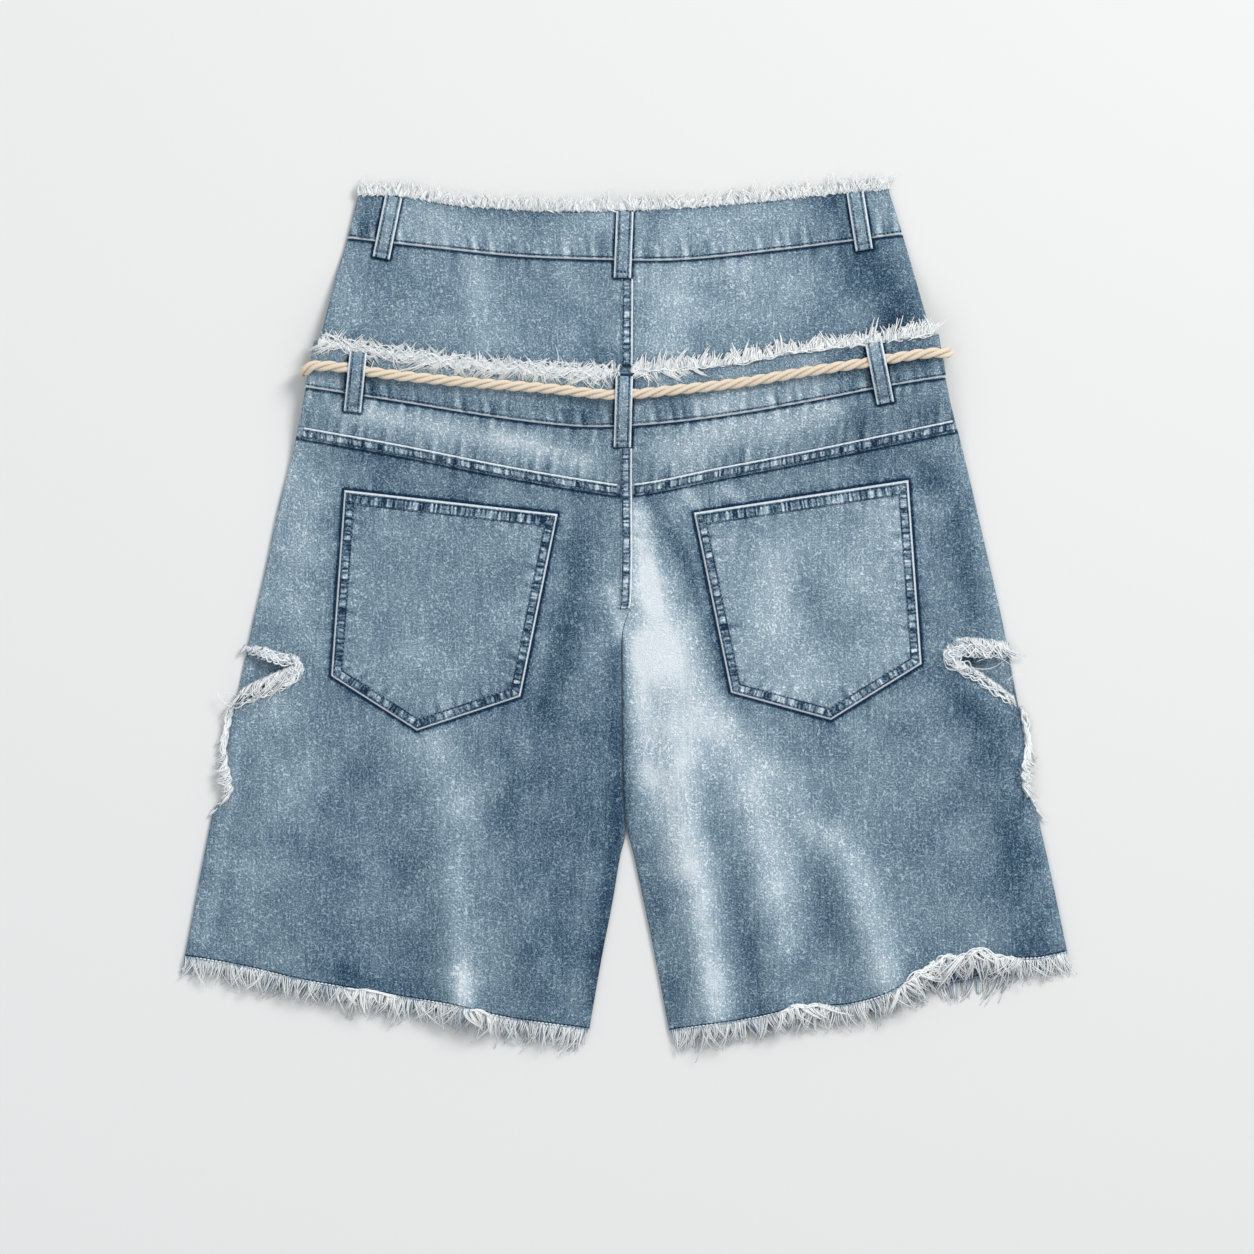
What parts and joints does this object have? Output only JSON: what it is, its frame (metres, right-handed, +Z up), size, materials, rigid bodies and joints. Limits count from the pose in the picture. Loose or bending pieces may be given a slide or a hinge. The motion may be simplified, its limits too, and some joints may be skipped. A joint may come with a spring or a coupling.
{
  "type": "denim shorts",
  "caption": "Wide denim shorts laid flat, back up, with a double waistband, raw frayed edges, patch pockets and a rope belt.",
  "frame": {"origin": "On the floor under the middle of the shorts' outline", "axes": "+X across the garment to the right as seen from above, +Y towards the waist, +Z up out of the back"},
  "size_m": [0.6621, 0.6538, 0.0292],
  "materials": {
    "denim": "matte",
    "fray": "matte",
    "rope": "matte",
    "button": "satin"
  },
  "bodies": {
    "root": {"belt_loop_front_left": "denim", "belt_loop_front_right": "denim", "belt_loop_lower_centre": "denim", "belt_loop_lower_left": "denim", "belt_loop_lower_right": "denim", "belt_loop_upper_centre": "denim", "belt_loop_upper_left": "denim", "belt_loop_upper_right": "denim", "centre_seam_seat": "denim", "centre_seam_upper": "denim", "fringe_band_back_left": "fray", "fringe_band_back_right": "fray", "fringe_band_front_left": "fray", "fringe_band_front_right": "fray", "fringe_hem_back_left": "fray", "fringe_hem_back_right": "fray", "fringe_hem_front_left": "fray", "fringe_hem_front_right": "fray", "fringe_rip_lower_left": "fray", "fringe_rip_lower_right": "fray", "fringe_rip_upper_left": "fray", "fringe_rip_upper_right": "fray", "fringe_side_left": "fray", "fringe_side_right": "fray", "fringe_waist_back": "fray", "fringe_waist_front_left": "fray", "fringe_waist_front_right": "fray", "leg_back_left": "denim", "leg_back_right": "denim", "leg_front_left": "denim", "leg_front_right": "denim", "lower_waistband_back": "denim", "lower_waistband_front_left": "denim", "lower_waistband_front_right": "denim", "pocket_left": "denim", "pocket_right": "denim", "rope_belt": "rope", "upper_panel_back_left": "denim", "upper_panel_back_right": "denim", "upper_panel_front_left": "denim", "upper_panel_front_right": "denim", "upper_waistband_back": "denim", "upper_waistband_front_left": "denim", "upper_waistband_front_right": "denim", "waist_button_lower": "button", "waist_button_upper": "button", "yoke_left": "denim", "yoke_right": "denim", "yoke_seam_left": "denim", "yoke_seam_right": "denim"}
  },
  "joints": []
}
